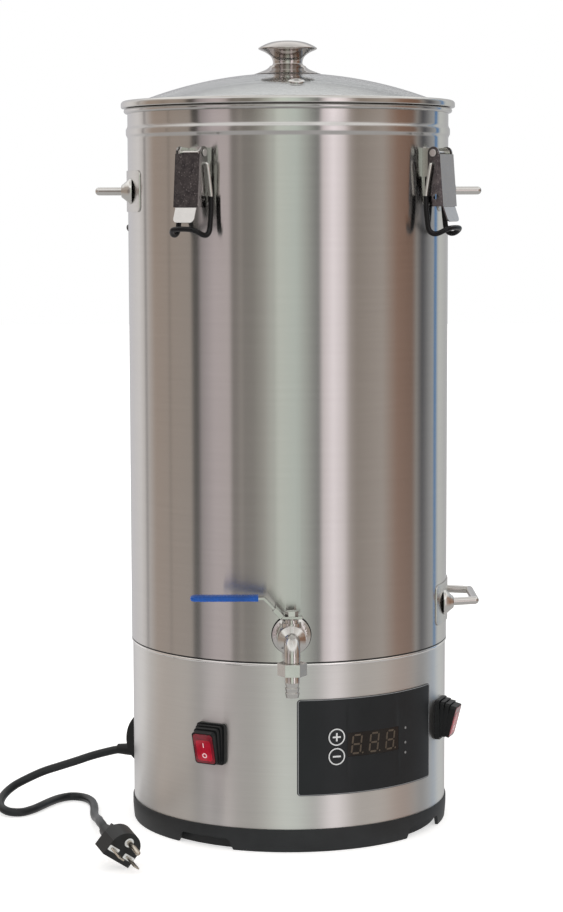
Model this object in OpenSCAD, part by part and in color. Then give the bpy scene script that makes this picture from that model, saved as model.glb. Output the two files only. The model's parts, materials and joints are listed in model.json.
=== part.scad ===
// Electric brew kettle: lidded steel tank on a heater base, with side latches, handles,
// a lever ball valve, a control panel, two rocker switches and a power cord.
// Millimetres. The valve faces -Y, +Z is up, and the origin is the centre of the base on the bench.
// An azimuth of 0 is the valve's side, and azimuths grow towards +X.

/* [Tank] */
// Outside radius of the tank wall
tank_r = 150; // [120:1:220]
// Sheet thickness of the tank wall
tank_t = 1; // [0.6:0.1:2]
// Height of the top of the rolled rim
rim_top = 671.4; // [500:0.1:900]
// Height of the tank's underside seam over the skirt
seam_z = 174.6; // [120:0.1:240]
// Radius of the rolled rim's section
rim_roll_r = 2.4; // [1.5:0.1:4]

/* [Base] */
// Outside radius of the skirt
skirt_r = 149; // [110:1:215]
// Height of the moulded base ring
base_h = 21.3; // [12:0.1:40]
// Azimuth of the first latch and foot cut-out
first_latch_az = -32.5; // [-80:0.5:0]

/* [Lid] */
// Outside radius of the steel lid rim
lid_r = 156; // [120:1:230]
// Radius of the glass dome's outer sphere
dome_r = 377.8; // [250:0.1:600]
// Height of the glass at the lid's centre
dome_top = 704.3; // [600:0.1:900]

/* [Handles] */
// Half of the distance between a handle's two legs
handle_half = 40; // [25:1:60]
// Diameter of the handle rod
handle_d = 7.5; // [5:0.5:12]
// Distance of the rod's outer side from the kettle's axis
handle_reach = 188; // [170:1:230]
// Height of the two upper handles
upper_handle_z = 595; // [400:1:640]
// Height of the tipping handle
lower_handle_z = 210.5; // [190:0.5:300]

/* [Latches] */
// Height of the lever's pin
latch_pin_z = 628.5; // [500:0.5:650]
// Overall width of the lever
latch_w = 26; // [16:1:40]
// Sheet thickness of the lever
latch_t = 1.2; // [0.8:0.1:2]

/* [Valve] */
// Height of the valve's axis
valve_z = 200; // [190:1:260]
// Radius of the ball
ball_r = 8.2; // [6:0.1:12]
// Azimuth of the panel's centre
panel_az = 30.8; // [10:0.1:60]

/* [Switches and cord] */
// Azimuth of the left switch
left_switch_az = -28.7; // [-60:0.1:-15]
// Azimuth of the right switch
right_switch_az = 70.5; // [62:0.5:90]
// Height of the left switch's centre above the floor
left_switch_z = 97.3; // [60:0.1:130]
// Height of the right switch's centre above the floor
right_switch_z = 102.4; // [60:0.1:130]
// Tilt of a rocker at rest, switched off
rocker_tilt = 14.5; // [8:0.5:20]
// Diameter of the power cord
cord_d = 8; // [6:0.1:12]
// Azimuth of the cord's gland
gland_az = -103.8; // [-150:0.1:-90]

/* [Hidden] */

steel = [0.74, 0.74, 0.72];
polished = [0.82, 0.82, 0.82];
black = [0.10, 0.10, 0.11];
lens_red = [0.70, 0.08, 0.12];
sleeve_blue = [0.07, 0.20, 0.62];
glass_tint = [0.80, 0.84, 0.83, 0.5];

fine = 180;             // facets on the big round parts
round = 48;             // facets on small round parts
thin = 24;              // facets on wires
running = 0.05;         // radial clearance of a turning fit
tank_in = tank_r - tank_t;
skirt_in = skirt_r - 0.9;
floor_z = 180.4;        // underside of the tank's floor
floor_t = 1.2;
bead_z = 649.5;         // middle of the tank's stiffening bead
lid_z = 671.7;          // underside of the lid's rim
dome_z = dome_top - dome_r;
dome_in = dome_r - 4;
vent_tilt = 14.4;       // slope of the glass at the steam vent
vent_az = 4;
vent_r = 2.8;
stem_y = -167;          // the valve stem's distance in front of the kettle's axis
spout_y = -196;         // the spout's distance in front of the kettle's axis
stem_r = 3;
lever_z = 217.7;        // underside of the valve lever's flat
switch_pivot_y = -155;
button_az = 15.8;
plus_z = 105;
minus_z = 87.2;
display_az = 30.5;
cord_exit_z = 53;
reset_at = [40, 62];
probe_at = [0, -80];
plug_at = [-148, -206, 19.5];
plug_turn = [104, 0, 26.6];
plug_roll = -35;
plug_back = 41;         // from the plug's face to the end of its strain relief

// The cord's route, from inside the gland to inside the plug's strain relief.
cord_route = [[-150, 37, 53], [-159, 39, 53], [-168, 41, 52], [-180, 43, 49], [-194, 44, 45],
    [-209, 44, 40], [-225, 44, 35], [-241, 43, 30], [-256, 39, 24], [-268, 31, 19], [-276, 19, 14],
    [-279, 6, 10], [-277, -6, 7], [-269, -15, 5], [-257, -14, 4], [-247, -3, 4], [-240, 11, 4],
    [-233, 26, 4], [-225, 39, 4], [-214, 47, 4], [-202, 43, 4], [-194, 31, 4], [-190, 16, 4],
    [-188, -1, 4], [-187, -18, 4], [-185, -38, 6], [-182, -60, 10], [-179, -84, 15], [-177, -108, 21],
    [-175, -130, 26], [-173, -148, 29], [-170, -162, 30], [-167, -171, 28], [-162, -180, 25]];

// ---------- helpers ----------
module at(az, z = 0) {
    rotate([0, 0, az]) translate([0, 0, z]) children();
}

// A cylinder that points outwards from the kettle's side, from radius r0 to radius r1.
module outwards(r0, r1, r, r2 = -1, fn = round) {
    translate([0, -r0, 0]) rotate([90, 0, 0]) cylinder(h = r1 - r0, r1 = r, r2 = r2 < 0 ? r : r2, $fn = fn);
}

// Extrudes an outline drawn as (distance from the axis, height) sideways from x0 to x1.
module side_plate(x0, x1) {
    translate([x1, 0, 0]) rotate([0, 0, -90]) rotate([90, 0, 0]) linear_extrude(x1 - x0) children();
}

// Extrudes an outline drawn as (sideways, height) outwards from radius r0 to radius r1.
module face_plate(r0, r1) {
    translate([0, -r0, 0]) rotate([90, 0, 0]) linear_extrude(r1 - r0) children();
}

module rounded(w, h, r) {
    square([w - 2 * r, h], center = true);
    square([w, h - 2 * r], center = true);
    for (sx = [-1, 1], sy = [-1, 1])
        translate([sx * (w / 2 - r), sy * (h / 2 - r)]) circle(r = r, $fn = 32);
}

module disc(r, z0, z1, fn = round) {
    translate([0, 0, z0]) cylinder(h = z1 - z0, r = r, $fn = fn);
}

module tube(r_out, r_in, z0, z1, fn = round) {
    difference() {
        disc(r_out, z0, z1, fn);
        disc(r_in, z0 - 1, z1 + 1, fn);
    }
}

// A straight rod between two points.
module rod(a, b, r) {
    v = b - a;
    long = norm(v);
    translate(a) rotate([0, acos(v[2] / long), atan2(v[1], v[0])]) cylinder(h = long, r = r, $fn = thin);
}

// A round tube swept along a list of points. No part of the route runs along the side vector.
function unit(v) = v / norm(v);
function heading(p, i) = unit(p[min(i + 1, len(p) - 1)] - p[max(i - 1, 0)]);
function ring(p, i, r, n, side) = let (d = heading(p, i), s = unit(cross(side, d)), u = cross(d, s))
    [for (k = [0 : n - 1]) p[i] + r * (cos(360 * k / n) * s + sin(360 * k / n) * u)];

module swept_tube(p, r, n, side = [0, 0, 1]) {
    count = len(p);
    points = [for (i = [0 : count - 1]) each ring(p, i, r, n, side)];
    walls = [for (i = [0 : count - 2], k = [0 : n - 1]) let (a = i * n + k, b = i * n + (k + 1) % n)
        each [[a, a + n, b + n], [a, b + n, b]]];
    ends = [[for (k = [0 : n - 1]) k], [for (k = [n - 1 : -1 : 0]) (count - 1) * n + k]];
    polyhedron(points = points, faces = concat(walls, ends), convexity = 10);
}

// ---------- lid ----------
module dome_shell() {
    translate([0, 0, dome_z]) intersection() {
        difference() {
            sphere(r = dome_r, $fn = fine);
            sphere(r = dome_in, $fn = fine);
        }
        disc(139, 300, 400, fine);
    }
}

module at_vent() {
    translate([0, 0, dome_z]) rotate([0, 0, vent_az]) rotate([vent_tilt, 0, 0]) children();
}

module lid_glass() color(glass_tint) difference() {
    union() {
        dome_shell();
        tube(153, 137.5, lid_z + 1.9, lid_z + 5.8, fine);
    }
    disc(4, 690, 710);
    at_vent() disc(4.3, 360, 390);
}

module lid_rim() color(polished) rotate_extrude($fn = fine) translate([0, lid_z]) polygon([
    [146.6, -8.7], [147.4, -8.7], [147.4, 0], [lid_r - 0.7, 0], [lid_r, 0.7], [lid_r, 3.4],
    [lid_r - 0.9, 5.7], [lid_r - 3.2, 6.6], [145.5, 6.6], [145.5, 5.8], [lid_r - 2.9, 5.8],
    [lid_r - 0.9, 3.2], [lid_r - 0.8, 1], [146.6, 1]]);

module lid_knob_base() color(polished) difference() {
    rotate_extrude($fn = 96) translate([0, dome_top]) polygon([
        [4, 0.1], [16, -0.23], [31, -1.15], [31, -0.5], [26, 1.1], [21, 3.1], [18, 5],
        [16.6, 6.7], [4, 6.7]]);
    disc(4, 700, 715);
}

module lid_knob() color(polished) difference() {
    rotate_extrude($fn = 96) translate([0, dome_top + 6.7]) polygon([
        [0, 0], [15.8, 0], [14.2, 1.2], [13.8, 2.6], [14.2, 5.4], [15.4, 8.2], [17.8, 10.6], [21.6, 13],
        [26, 14.8], [27.4, 15.9], [26.6, 17], [22, 19.6], [16, 21.8], [9, 23], [0, 23.4]]);
    disc(3, 705, 723);
}

module lid_knob_screw() color(polished) {
    disc(3, dome_top - 7, 722);
    tube(10, 3, dome_top - 5.7, dome_top - 4.2);
    disc(6.5, dome_top - 8.7, dome_top - 5.7);
}

module steam_vent_eyelet() color(polished) at_vent() difference() {
    union() {
        disc(4.2, dome_in - 2, dome_r + 1.4);
        disc(7.5, dome_r, dome_r + 1.6);
        disc(6.5, dome_in - 1.6, dome_in - 0.1);
    }
    disc(vent_r, dome_in - 4, dome_r + 4);
}

// ---------- tank and base ----------
module tank() color(steel) difference() {
    union() {
        rotate_extrude($fn = fine) polygon([
            [tank_in, seam_z], [tank_r, seam_z], [tank_r, bead_z - 5.1], [tank_r + 1.5, bead_z - 2.3],
            [tank_r + 1.5, bead_z + 2.3], [tank_r, bead_z + 5.1], [tank_r, rim_top - 3.5],
            [tank_in, rim_top - 3.5], [tank_in, bead_z + 4.9], [tank_r + 0.5, bead_z + 1.9],
            [tank_r + 0.5, bead_z - 1.9], [tank_in, bead_z - 4.9]]);
        rotate_extrude($fn = fine) translate([tank_r + 1, rim_top - rim_roll_r])
            circle(r = rim_roll_r, $fn = round);
        disc(tank_in + 0.2, floor_z, floor_z + floor_t, fine);
    }
    translate([0, 0, valve_z]) outwards(130, 170, 10.3);
    translate(probe_at) disc(3, 170, 190);
}

module panel_holes(grow) {
    at(display_az, 97) face_plate(130, 160) square([55.4 + grow, 22 + grow], center = true);
    for (z = [plus_z, minus_z]) at(button_az, z) outwards(130, 160, 8.25);
    for (z = [105.2, 91.5, 82.1]) at(44.6, z) outwards(130, 160, 1.3);
}

module base_skirt() color(steel) difference() {
    union() {
        rotate_extrude($fn = fine) polygon([
            [skirt_in, 14], [skirt_r, 14], [skirt_r, seam_z - 4], [skirt_r + 0.8, seam_z - 3],
            [skirt_r + 0.8, seam_z - 1.3], [skirt_r, seam_z - 0.4], [skirt_r, 179.6], [skirt_in, 179.6]]);
        for (k = [0 : 3]) at(12 + 90 * k, 14.3) translate([-8, -148.4, 0]) cube([16, 28, 1.4]);
    }
    panel_holes(1);
    for (s = [[left_switch_az, left_switch_z], [right_switch_az, right_switch_z]])
        at(s[0], s[1]) face_plate(130, 160) square([22.4, 31], center = true);
    at(gland_az, cord_exit_z) outwards(130, 160, 6);
    for (k = [0 : 3]) at(12 + 90 * k) translate([0, -130, 0]) disc(2, 10, 20);
}

module foot_cutout() {
    difference() {
        face_plate(140, 160) polygon([[-30.5, -1], [30.5, -1], [25, 10.3], [-25, 10.3]]);
        disc(144.8, -5, 20, fine);
    }
}

module base_pan() color(black) difference() {
    union() {
        for (k = [0 : 3]) at(12 + 90 * k) translate([0, -130, 0]) disc(5, 12, 14.3);
        rotate_extrude($fn = fine) polygon([
            [0, 9.6], [138, 9.6], [138, 0], [140.4, 0], [140.4, 9.6], [146, 9.6], [146, 0], [148.6, 0],
            [149.2, 0.7], [150.2, 12], [150.2, base_h], [skirt_r, base_h], [skirt_r, 14], [146, 14],
            [146, 12.4], [0, 12.4]]);
    }
    for (k = [0 : 3]) at(first_latch_az + 90 * k) foot_cutout();
    for (k = [0 : 3]) at(12 + 90 * k) translate([0, -130, 0]) disc(2.2, 5, 20);
    for (k = [0 : 11]) at(30 * k + 8) translate([-1.5, -112, 5]) cube([3, 30, 10]);
    translate(reset_at) disc(5.4, 5, 20);
}

module bottom_screws() color(polished) for (k = [0 : 3]) at(12 + 90 * k) translate([0, -130, 0]) {
    disc(2, 8.4, 17);
    disc(4, 7.4, 9.6);
}

// ---------- handles ----------
module handle_plate(az, z) at(az, z) difference() {
    union() {
        intersection() {
            tube(tank_r + 1.2, tank_r, -30, 30, fine);
            face_plate(100, 170) rounded(128.7, 38, 5);
        }
        for (s = [-1, 1]) translate([s * handle_half, 0, 0]) outwards(144.2, 154.2, 11.8, 5);
    }
    disc(tank_r, -40, 40, fine);
    for (s = [-1, 1]) translate([s * handle_half, 0, 0]) outwards(140, 160, handle_d / 2);
}

module handle_plates() color(polished) {
    handle_plate(-90, upper_handle_z);
    handle_plate(90, upper_handle_z);
    handle_plate(90, lower_handle_z);
}

module handle(az, z) color(polished) at(az, z) {
    rod_r = handle_d / 2;
    bend = 10;
    bar_y = handle_reach - rod_r;
    for (s = [-1, 1]) translate([s * handle_half, 0, 0]) outwards(145.8, bar_y - bend, rod_r, fn = thin);
    for (s = [0, 1]) mirror([s, 0, 0]) translate([handle_half - bend, -(bar_y - bend), 0])
        rotate([0, 0, -90]) rotate_extrude(angle = 90, $fn = 96) translate([bend, 0])
            circle(r = rod_r, $fn = thin);
    translate([bend - handle_half, -bar_y, 0]) rotate([0, 90, 0])
        cylinder(h = 2 * (handle_half - bend), r = rod_r, $fn = thin);
}

module upper_left_handle() handle(-90, upper_handle_z);
module upper_right_handle() handle(90, upper_handle_z);
module lower_handle() handle(90, lower_handle_z);

// ---------- latches ----------
latch_pin_at = 161.5;               // the lever pin's distance from the axis
latch_pin_r = 2;
bail_at = [160.5, latch_pin_z - 9.5]; // the bail's pivot: distance from the axis, height
bail_r = 1.5;
ear_x = latch_w / 2 - latch_t - 0.5;

module latch_bracket() difference() {
    union() {
        face_plate(148, 151.4) translate([0, 608]) rounded(20, 52, 4);
        for (s = [0, 1]) mirror([s, 0, 0]) side_plate(ear_x - 1.5, ear_x) {
            polygon([[148, 606], [155, 608], [166, 624], [166, 630], [162, 633.6], [155, 633], [148, 633]]);
        }
    }
    disc(tank_r, 500, 700, fine);
    translate([0, 0, latch_pin_z]) translate([-15, -latch_pin_at, 0]) rotate([0, 90, 0])
        cylinder(h = 30, r = latch_pin_r, $fn = thin);
}

module latch_brackets() color(polished) for (k = [0 : 3]) at(first_latch_az + 90 * k) latch_bracket();

module latch_pins() color(polished) for (k = [0 : 3])
    at(first_latch_az + 90 * k, latch_pin_z) translate([0, -latch_pin_at, 0]) rotate([0, 90, 0]) {
        disc(latch_pin_r, -14.5, 14.5, thin);
        disc(3.4, -14.5, -13.35, thin);
        disc(3.4, 13.35, 14.5, thin);
    }

module latch_lever(k) color(polished) at(first_latch_az + 90 * k) difference() {
    half = latch_w / 2;
    union() {
        for (s = [0, 1]) mirror([s, 0, 0]) {
            side_plate(half - latch_t, half) {
                translate([latch_pin_at, latch_pin_z]) circle(r = 5.7, $fn = round);
                polygon([[155.8, 629], [155.8, 600], [156.6, 587], [159, 580.6], [171, 580.6],
                    [167.2, 629]]);
            }
            side_plate(half, half + 0.3) translate([164, 589.4]) difference() {
                circle(r = 4.4, $fn = thin);
                circle(r = 3.4, $fn = thin);
            }
        }
        side_plate(-half, half) polygon([[167, 627.5], [168.2, 627.5], [171.9, 580.6], [170.7, 580.6]]);
        translate([0, -170.7, 581.3]) rotate([-20, 0, 0]) translate([0, 0.9, 0])
            face_plate(0, 1.2) difference() {
                translate([0, -6]) rounded(22, 18, 4);
                translate([-15, 0.3]) square([30, 10]);
            }
    }
    translate([-20, -latch_pin_at, latch_pin_z]) rotate([0, 90, 0])
        cylinder(h = 40, r = latch_pin_r + running, $fn = thin);
    translate([-20, -bail_at[0], bail_at[1]]) rotate([0, 90, 0])
        cylinder(h = 40, r = bail_r + running, $fn = thin);
    translate([-20, -164, 589.4]) rotate([0, 90, 0]) cylinder(h = 40, r = 2.4, $fn = thin);
}

// Half of the bail's route, from its pivot to the middle of the end bar: sideways, outwards, height.
bail_half = [[11.7, -160.5, 619], [14.4, -160.5, 619], [15.8, -160.4, 618.4], [16.4, -160.2, 616.6],
    [16.6, -157.8, 602], [16.8, -156.2, 590], [16.8, -156.6, 578], [16.8, -158, 566], [16.8, -159, 561],
    [16.7, -161, 557.8], [16.4, -164.4, 556.2], [15.8, -168.4, 556.6], [14.4, -172.2, 558.4],
    [12, -175, 560.2], [8.6, -176.5, 561.2], [0, -177, 561.6]];
function sides(half) = concat(half,
    [for (i = [len(half) - 2 : -1 : 0]) [-half[i][0], half[i][1], half[i][2]]]);
grip_half = [for (i = [5 : len(bail_half) - 1]) bail_half[i]];
bail_side = [0.5, 1, 0.8];

module latch_bail(k) color(polished) at(first_latch_az + 90 * k)
    swept_tube(sides(bail_half), bail_r, 10, bail_side);

module latch_grip(k) color(black) at(first_latch_az + 90 * k) difference() {
    swept_tube(sides(grip_half), 2.5, 10, bail_side);
    swept_tube(sides(bail_half), bail_r, 10, bail_side);
}

module latch_lever_1() latch_lever(0);
module latch_lever_2() latch_lever(1);
module latch_lever_3() latch_lever(2);
module latch_lever_4() latch_lever(3);
module latch_bail_1() latch_bail(0);
module latch_bail_2() latch_bail(1);
module latch_bail_3() latch_bail(2);
module latch_bail_4() latch_bail(3);
module latch_grip_1() latch_grip(0);
module latch_grip_2() latch_grip(1);
module latch_grip_3() latch_grip(2);
module latch_grip_4() latch_grip(3);

// ---------- valve ----------
module valve_washers() color([0.75, 0.75, 0.73]) translate([0, 0, valve_z]) difference() {
    union() {
        difference() {
            outwards(147, 152.2, 16.5);
            disc(tank_r, -30, 30, fine);
        }
        intersection() {
            outwards(145.4, 152, 15);
            disc(tank_in, -30, 30, fine);
        }
    }
    outwards(130, 170, 10.3);
}

module valve_back_nut() color(steel) translate([0, 0, valve_z]) difference() {
    outwards(137.4, 145.4, 15.6, fn = 6);
    outwards(130, 150, 10.3);
}

module spout_bend(r) {
    translate([0, spout_y + 12, -12]) rotate([180, -90, 0]) rotate_extrude(angle = 90, $fn = 96)
        translate([12, 0]) circle(r = r, $fn = thin);
}

module valve_body() color(steel) translate([0, 0, valve_z]) difference() {
    union() {
        outwards(135, 153, 10.3);
        outwards(152.2, 154.8, 17.2);
        outwards(154.8, 157.2, 17.2, 13.2);
        outwards(157, 178.5, 12.4);
        outwards(178.5, 183, 12.4, 7.2);
        outwards(182, -(spout_y + 12), 7.2);
        spout_bend(7.2);
        translate([0, spout_y, 0]) disc(7.2, -19, -12);
        translate([0, spout_y, 0]) disc(9.45, -23.4, -17.2);
        translate([0, stem_y, 0]) disc(8.6, 0, 13.8);
        translate([0, stem_y, 0]) disc(6, 0, 16.6);
    }
    outwards(130, -(spout_y + 12), 5);
    outwards(157, 176.6, 9.05);
    spout_bend(5);
    translate([0, spout_y, 0]) disc(5, -30, -12);
    translate([0, stem_y, 0]) disc(stem_r + running, 0, 30);
}

module ball_seats() color([0.95, 0.95, 0.93]) translate([0, 0, valve_z]) difference() {
    union() {
        outwards(157, 161.4, 9.05);
        outwards(172.6, 176.6, 9.05);
    }
    outwards(150, 180, 5);
    translate([0, stem_y, 0]) sphere(r = ball_r + running, $fn = 64);
}

module valve_ball() color(polished) translate([0, stem_y, valve_z]) difference() {
    sphere(r = ball_r, $fn = 64);
    translate([-20, 0, 0]) rotate([0, 90, 0]) cylinder(h = 40, r = 5, $fn = round);
    translate([-10, -1.3, 6.4]) cube([20, 2.6, 5]);
}

module valve_stem() color(polished) translate([0, stem_y, 0]) {
    intersection() {
        translate([-3, -1.3, valve_z + 6.4]) cube([6, 2.6, 5]);
        disc(stem_r, 190, 220);
    }
    disc(stem_r, valve_z + ball_r + 0.1, 224.2);
}

module stem_nut() color(polished) translate([0, stem_y, 0]) difference() {
    disc(6, lever_z + 2.1, lever_z + 6.6, 6);
    disc(stem_r, 210, 230);
}

arm_foot = [-7.6, lever_z + 1];
arm_top = [-24.6, 236];
arm_slope = atan2(arm_top[1] - arm_foot[1], arm_foot[0] - arm_top[0]);

module valve_lever() color(polished) translate([0, stem_y, 0]) difference() {
    union() {
        translate([0, 6, 0]) rotate([90, 0, 0]) linear_extrude(12) polygon([
            [9.5, lever_z], [9.5, lever_z + 2.1], [-7.2, lever_z + 2.1], [-24.2, 237.1], [-86, 237.1],
            [-86, 235], [-25, 235], [-8.1, lever_z]]);
        intersection() {
            disc(10, lever_z, lever_z + 2.1);
            translate([0, -6, 210]) cube([12, 12, 20]);
        }
    }
    disc(stem_r, 210, 230);
}

module lever_sleeve() color(sleeve_blue) translate([0, stem_y, 236.05]) difference() {
    intersection() {
        translate([-29.5, 0, 0]) rotate([0, -90, 0]) linear_extrude(60.3) rounded(5.8, 14, 2.8);
        translate([0, 0, -5]) linear_extrude(10) translate([-59.65, 0]) rounded(60.3, 14, 6.5);
    }
    translate([-86, -6, -1.05]) cube([80, 12, 2.1]);
}

module lever_lock() color(polished) translate([-12, stem_y, 223.1]) rotate([0, arm_slope, 0]) difference() {
    translate([-5.1, -7.8, -2.3]) cube([10.2, 15.6, 4.6]);
    translate([-20, -6.4, -1.45]) cube([40, 12.8, 2.9]);
}

module union_nut() color(steel) translate([0, spout_y, 0]) difference() {
    disc(13.1, 172.2, 183.2, 6);
    disc(9.45, 174.4, 190);
    disc(6.9, 170, 180);
}

module hose_barb() color(steel) translate([0, spout_y, 0]) difference() {
    union() {
        disc(9.4, 174.4, 176.6);
        disc(6.6, 165.6, 172.2);
        disc(6.1, 172.2, 175);
        for (z = [152.4, 156.8, 161.2])
            translate([0, 0, z]) cylinder(h = 4.4, r1 = 5.4, r2 = 6.5, $fn = round);
    }
    disc(4.2, 140, 190);
}

// ---------- controls ----------
module panel_overlay() color(black) difference() {
    intersection() {
        tube(skirt_r + 0.6, skirt_r, 40, 150, fine);
        at(panel_az, 96.15) face_plate(60, 170) rounded(144.3, 88.3, 3);
    }
    panel_holes(0);
}

module control_housing() color([0.2, 0.2, 0.2]) at(panel_az) difference() {
    intersection() {
        translate([-66, -160, 58]) cube([132, 60, 76]);
        disc(skirt_in, 50, 140, fine);
    }
    difference() {
        translate([-64, -165, 60]) cube([128, 63, 72]);
        for (x = [-50, 50], z = [68, 124]) translate([x, 0, z]) outwards(100, 124, 3);
    }
}

module control_board() color([0.05, 0.3, 0.12]) at(panel_az) {
    translate([-58, -125.6, 62]) cube([116, 1.6, 68]);
    translate([12, -124.1, 66]) cube([26, 18, 24]);
    translate([-36, -124.1, 70]) cube([20, 16, 20]);
    at(button_az - panel_az) for (z = [plus_z, minus_z]) translate([-4, -140, z - 4]) cube([8, 16, 8]);
}

module display() color([0.16, 0.13, 0.11]) {
    at(display_az, 97) {
        intersection() {
            translate([-27.5, -160, -10.9]) cube([55, 14, 21.8]);
            disc(skirt_r + 0.3, -20, 20, fine);
        }
        translate([-23, -146, -10]) cube([46, 20.2, 20]);
    }
    for (z = [105.2, 91.5, 82.1]) at(44.6, z) outwards(134, skirt_r + 0.5, 1.25);
}

module push_button(z) color(black) at(button_az, z) {
    outwards(141.6, skirt_r + 1, 7.9);
    outwards(141.6, 143.6, 8.7);
    outwards(141, 142, 2);
}
module plus_button() push_button(plus_z);
module minus_button() push_button(minus_z);

// ---------- rocker switches ----------
module at_rocker(tilt) {
    translate([0, switch_pivot_y, 0]) rotate([tilt, 0, 0]) translate([0, -switch_pivot_y, 0]) children();
}

module switch_body(az, z) color(black) at(az, z) {
    difference() {
        union() {
            face_plate(skirt_r + 0.1, 151.4) rounded(25.6, 34, 2);
            face_plate(123, skirt_r + 0.1) square([21.8, 30], center = true);
            for (s = [0, 1]) mirror([s, 0, 0]) face_plate(151, 158) translate([6.8, -4]) square([2, 8]);
        }
        face_plate(134, 160) square([13.6, 26], center = true);
        translate([-15, switch_pivot_y, 0]) rotate([0, 90, 0])
            cylinder(h = 30, r = 1.5 + running, $fn = thin);
    }
    for (x = [-6, 6], z = [-8, 8]) translate([x - 0.4, -124, z - 3]) cube([0.8, 12, 6]);
}

module rocker(az, z) color(lens_red) at(az, z) {
    at_rocker(rocker_tilt) {
        face_plate(162, 165) rounded(19.8, 28.5, 3);
        face_plate(151.5, 162.5) square([13, 16], center = true);
    }
    translate([-8.8, switch_pivot_y, 0]) rotate([0, 90, 0]) cylinder(h = 17.6, r = 1.5, $fn = thin);
}

module switch_boot(az, z) color(black) at(az, z) difference() {
    union() {
        face_plate(148, 152.6) rounded(28.6, 37.4, 3);
        at_rocker(rocker_tilt / 3) face_plate(152, 155.8) rounded(26, 34.4, 3);
        at_rocker(rocker_tilt * 2 / 3) face_plate(155.2, 159.6) rounded(24, 32.4, 3);
        at_rocker(rocker_tilt) face_plate(159, 164.6) rounded(22, 30.8, 3);
    }
    face_plate(140, 151.5) rounded(25.7, 34.1, 2);
    at_rocker(rocker_tilt) face_plate(140, 161.6) square([18.4, 25], center = true);
    at_rocker(rocker_tilt) face_plate(161.5, 170) rounded(20.4, 29.1, 3);
    disc(skirt_r, -40, 40, fine);
}

module left_switch_body() switch_body(left_switch_az, left_switch_z);
module left_rocker() rocker(left_switch_az, left_switch_z);
module left_switch_boot() switch_boot(left_switch_az, left_switch_z);
module right_switch_body() switch_body(right_switch_az, right_switch_z);
module right_rocker() rocker(right_switch_az, right_switch_z);
module right_switch_boot() switch_boot(right_switch_az, right_switch_z);

// ---------- power cord ----------
module cord_gland() color(black) at(gland_az) difference() {
    union() {
        difference() {
            intersection() {
                translate([0, 0, 67.5]) face_plate(130, 160) rounded(30, 51, 12);
                translate([-20, -126, 67.5]) rotate([0, 90, 0]) cylinder(h = 40, r = 33, $fn = 96);
            }
            disc(skirt_r, 30, 110, fine);
        }
        translate([0, 0, cord_exit_z]) outwards(142, 152, 6);
        translate([0, 0, cord_exit_z]) outwards(151, 172, 6.6, 4.8);
    }
    translate([0, 0, cord_exit_z]) outwards(130, 155, cord_d / 2 - 1);
    translate([0, 0, cord_exit_z]) outwards(154.5, 180, cord_d / 2);
}

// A point on the smooth curve through four route points.
function between(a, b, c, d, t) =
    ((2 * b) + (c - a) * t + (2 * a - 5 * b + 4 * c - d) * t * t + (3 * b - a - 3 * c + d) * t * t * t) / 2;
function along(p, i, t) = between(p[max(i - 1, 0)], p[i], p[i + 1], p[min(i + 2, len(p) - 1)], t);
function smooth_route(p, n) = concat([for (i = [0 : len(p) - 2], k = [0 : n - 1]) along(p, i, k / n)],
    [p[len(p) - 1]]);

module power_cord() color(black) swept_tube(smooth_route(cord_route, 2), cord_d / 2, 10);

module at_plug() {
    translate(plug_at) rotate([0, 0, plug_turn[2]]) rotate([plug_turn[0], 0, 0])
        rotate([0, 0, plug_roll]) children();
}

module plug_body() color(black) at_plug() difference() {
    union() {
        translate([0, 0, -19]) linear_extrude(19) {
            translate([0, -5.5]) square([31, 15], center = true);
            intersection() {
                circle(r = 15.5, $fn = round);
                translate([-20, -3]) square([40, 30]);
            }
        }
        translate([-10, -11, -26]) cube([20, 20, 8]);
        translate([0, -2, -plug_back]) cylinder(h = 16, r1 = 5.6, r2 = 7.5, $fn = round);
    }
    translate([0, -2, -plug_back - 1]) cylinder(h = 12, r = cord_d / 2, $fn = round);
    for (x = [-9.2, 9.2]) translate([x - 3.2, -5.8, -10]) cube([6.4, 1.6, 20]);
    translate([0, 7, -10]) cylinder(h = 20, r = 2, $fn = thin);
}

module plug_pins() color(polished) at_plug() {
    for (x = [-9.2, 9.2]) translate([x - 3.2, -5.8, -10]) cube([6.4, 1.6, 28]);
    translate([0, 7, -10]) cylinder(h = 12, r = 2, $fn = thin);
    translate([0, 7, 0]) cylinder(h = 19, r = 2.4, $fn = thin);
    translate([0, 7, 19]) sphere(r = 2.4, $fn = thin);
}

// ---------- inside the base ----------
module heating_elements() color(polished) {
    for (r = [60, 100]) rotate_extrude($fn = fine) translate([r, floor_z - 4]) circle(r = 4, $fn = thin);
    for (r = [60, 100], s = [-1, 1]) translate([s * 8, r, 0]) disc(2.5, 158, floor_z - 4, thin);
}

module thermal_cutout() color([0.3, 0.3, 0.3]) {
    disc(12, floor_z - 2.4, floor_z);
    disc(8, 166, floor_z - 2.3);
    translate(reset_at) {
        tube(9.5, 7.6, 12.4, 20);
        disc(9.5, 19, 38);
    }
}

module reset_button() color(lens_red) translate(reset_at) {
    disc(5, 8, 16);
    disc(7, 12.8, 14.8);
}

module temperature_probe() color(polished) translate(probe_at) {
    disc(3, 172, 194);
    disc(6, 172, floor_z);
}

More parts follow.
